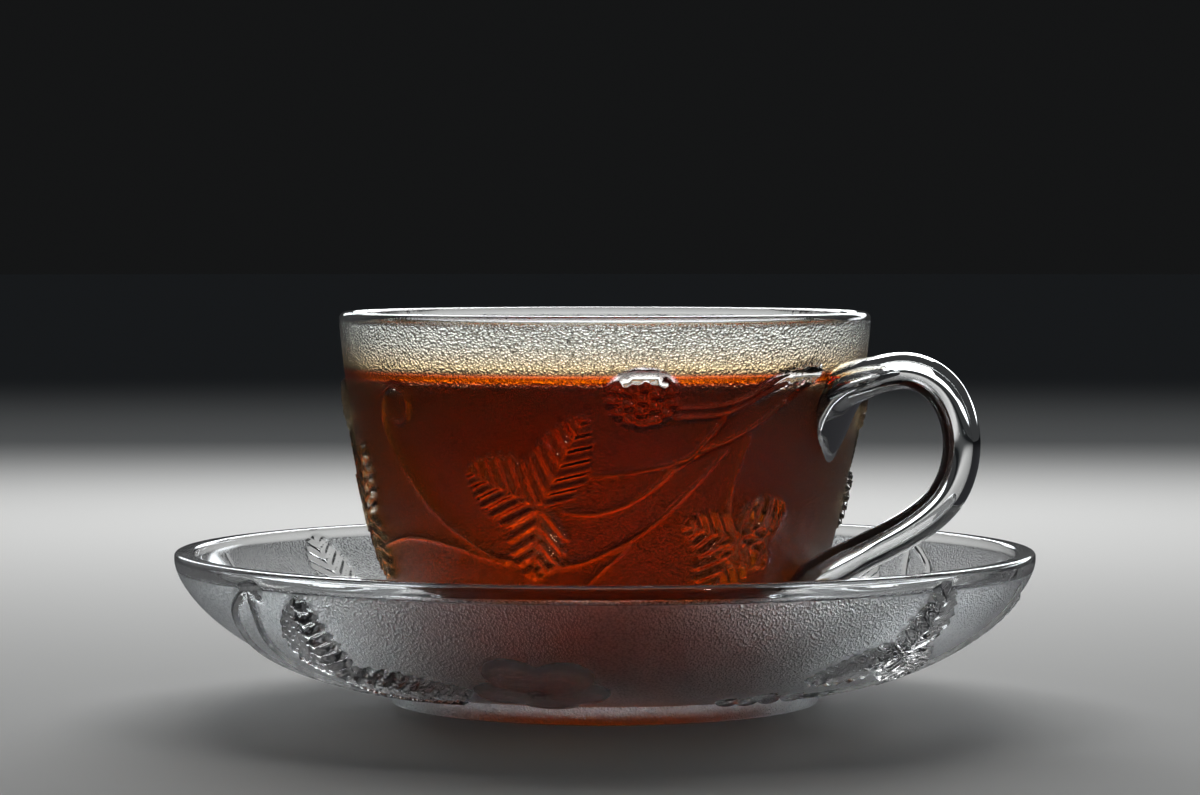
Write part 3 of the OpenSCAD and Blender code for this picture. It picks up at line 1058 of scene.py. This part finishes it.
    def mark_grain(self, mesh):
        """Marks the pebbled places: the wall outside, but not the pattern, lip or handle."""
        p = points_of(mesh)
        r = np.hypot(p[:, 0], p[:, 1])
        z = p[:, 2]
        height, cover = cup_relief(np.arctan2(p[:, 1], p[:, 0]), z)
        zc = np.clip(z, CORNER_TOP, WALL_TOP)
        off = r - wall_radius(zc) - height
        outer = np.where(z > CORNER_TOP, np.abs(off) < 0.3 * MM, r > CUP_FOOT_R + 0.5 * MM)
        band = smoothstep(WALL_TOP + 0.2 * MM, WALL_TOP - 0.7 * MM, z)
        paint(mesh, "grain", outer * band * (1 - cover))


class CUP_OT_saucer(bpy.types.Operator):
    """Glass saucer: pebbled underside with raised leaves and a flower, smooth lip and inside"""
    bl_idname = "tea_cup.saucer"
    bl_label = "Saucer"

    def execute(self, context):
        settings = context.scene.cup_glass
        shape, part = self.dish(settings.relief)
        saucer = put_mesh("saucer_glass", *shape)
        self.mark_grain(saucer.data, part)
        glass = glass_material("saucer_pressed_glass", settings, SAUCER_PAINTED_LIGHT)
        saucer.data.materials.append(glass)
        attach(saucer, "root")
        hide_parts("saucer")
        return {"FINISHED"}

    def dish(self, strength):
        """The dish turned from its profile, with the raised pattern on its underside."""
        ring_in = FOOT_R - FOOT_RING_W
        base = np.array([[r, FOOT_RECESS] for r in (0, ring_in * 0.5, ring_in - 2.2 * MM)])
        foot = np.array([
            [ring_in - 1.6 * MM, FOOT_RECESS - 0.3 * MM], [ring_in - 0.2 * MM, 0.3 * MM],
            [ring_in + 0.3 * MM, 0], [FOOT_R - 0.6 * MM, 0], [FOOT_R - 0.15 * MM, 0.15 * MM],
            [FOOT_R, 0.6 * MM], [FOOT_R, 1.6 * MM], [FOOT_R, FOOT_H - 0.5 * MM],
            [FOOT_R + 0.1 * MM, FOOT_H - 0.15 * MM], [FOOT_R + 0.4 * MM, FOOT_H]])
        under = resample(dish_underside(2001), 96)
        edge = np.array([[LIP_R, LIP_Z - LIP_FACE + 0.15 * MM],
                         [LIP_R, LIP_Z - LIP_ROUND - 0.1 * MM]])
        round_out = on_arc((LIP_R - LIP_ROUND, LIP_Z - LIP_ROUND), LIP_ROUND, 0, math.pi / 2, 6)
        lip_in = LIP_R - DISH_LIP_T
        round_in = on_arc(
            (lip_in + LIP_ROUND, LIP_Z - LIP_ROUND), LIP_ROUND, math.pi / 2, math.pi, 6)
        lip = np.concatenate([edge, round_out, round_in])
        inside = dish_inside(44)[::-1]
        inside = inside[inside[:, 0] > DISH_START]
        seat = np.array([
            [SEAT_R + 5 * MM, SEAT_EDGE], [SEAT_R + SEAT_EDGE, SEAT_EDGE],
            [SEAT_R + 0.4 * SEAT_EDGE, 0.6 * SEAT_EDGE], [SEAT_R, 0],
            [SEAT_R * 0.5, 0], [0, 0]]) + [0, CUP_FOOT_Z]
        sections = [(base, 96), (foot, 192), (under[:4], 384), (under[4:], 768), (lip, 384),
                    (inside, 192), (seat, 96)]

        def lift(a, body, k):
            if k not in (2, 3):
                return None
            angle, r = np.meshgrid(a, body[:, 0])
            return strength * saucer_relief(angle, r, np.broadcast_to(body[:, 1:], r.shape))[0]

        counts = [len(points) * columns for points, columns in sections]
        for end in (0, -1):
            counts[end] += 1 - sections[end][1]
        return revolve(sections, lift), np.repeat(np.arange(len(sections)), counts)

    def mark_grain(self, mesh, part):
        """Marks the pebbled places: the underside and the foot's outside, but not the lip."""
        p = points_of(mesh)
        r = np.hypot(p[:, 0], p[:, 1])
        cover = np.zeros(len(p))
        under = np.nonzero((part == 2) | (part == 3))[0]
        cover[under] = saucer_relief(np.arctan2(p[under, 1], p[under, 0]), r[under], p[under, 2])[1]
        outer = FOOT_GRAIN * ((part == 1) & (r > FOOT_R - 0.5 * MM))
        outer[under] = DISH_GRAIN
        fade = smoothstep(LIP_Z - 2.2 * MM, LIP_Z - 3.0 * MM, p[:, 2])
        paint(mesh, "grain", outer * (1 - cover) * fade)


class CUP_OT_tea(bpy.types.Operator):
    """Tea: fills the cup and reaches just into the glass, with a rounded edge where it climbs"""
    bl_idname = "tea_cup.tea"
    bl_label = "Tea"

    def execute(self, context):
        settings = context.scene.cup_tea
        tea = put_mesh("tea_drink", *self.drink(settings.rise))
        tea.data.materials.append(tea_material(settings))
        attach(tea, "root")
        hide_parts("tea")
        return {"FINISHED"}

    def drink(self, rise):
        """The hollow's own profile moved into the glass, under a surface that climbs its edge.

        The surface is level, plus the rise times a bell of the distance to the wall: the
        exponential of minus the square of that distance over the edge's width.
        """
        top = TEA_Z + TEA_OVER
        hollow = inner_corner(16, TEA_INTO)[::-1]
        bottom = np.array([[0, hollow[0][1]], [hollow[0][0] * 0.5, hollow[0][1]]])
        z = np.linspace(INNER_TOP, top, 30)[1:]
        wall = np.stack([inner_radius(z) + TEA_INTO, z], 1)
        edge_r = inner_radius(top)
        gap = np.concatenate([np.linspace(0, 1, 14)[1:] * 1.1 * MM, np.linspace(1.4, 6, 6) * MM])
        r = edge_r - gap
        surface = np.stack([r, top - rise + rise * np.exp(-(gap / TEA_EDGE_W) ** 2)], 1)
        surface = np.concatenate([[[edge_r, top]], surface])
        level = np.array([[r[-1] * k, top - rise] for k in (0.66, 0.33, 0.0)])
        return revolve([(bottom, 96), (hollow, 192), (wall, 192), (surface, 192), (level, 96)])


class CUP_PT_panel(bpy.types.Panel):
    """Lists the pieces and their settings"""
    bl_idname = "CUP_PT_panel"
    bl_label = "Cup of Tea"
    bl_space_type = "VIEW_3D"
    bl_region_type = "UI"
    bl_category = "Cup of Tea"

    def draw(self, context):
        for group in (context.scene.cup_stage, context.scene.cup_glass, context.scene.cup_tea):
            for name in group.__annotations__:
                self.layout.prop(group, name)
        for operator in OPERATORS:
            self.layout.operator(operator.bl_idname)


OPERATORS = (CUP_OT_stage, CUP_OT_cup, CUP_OT_saucer, CUP_OT_tea)
CLASSES = (GlassSettings, TeaSettings, StageSettings, *OPERATORS, CUP_PT_panel)
GROUPS = {"cup_glass": GlassSettings, "cup_tea": TeaSettings, "cup_stage": StageSettings}


def register():
    """Adds the classes and the scene's settings."""
    for cls in CLASSES:
        bpy.utils.register_class(cls)
    for name, cls in GROUPS.items():
        setattr(bpy.types.Scene, name, PointerProperty(type=cls))


def unregister():
    """Takes the settings and the classes away again."""
    for name in GROUPS:
        delattr(bpy.types.Scene, name)
    for cls in reversed(CLASSES):
        bpy.utils.unregister_class(cls)


def main():
    """Makes every piece in order."""
    register()
    bpy.ops.tea_cup.stage()
    bpy.ops.tea_cup.cup()
    bpy.ops.tea_cup.saucer()
    bpy.ops.tea_cup.tea()


if __name__ == "__main__":
    main()
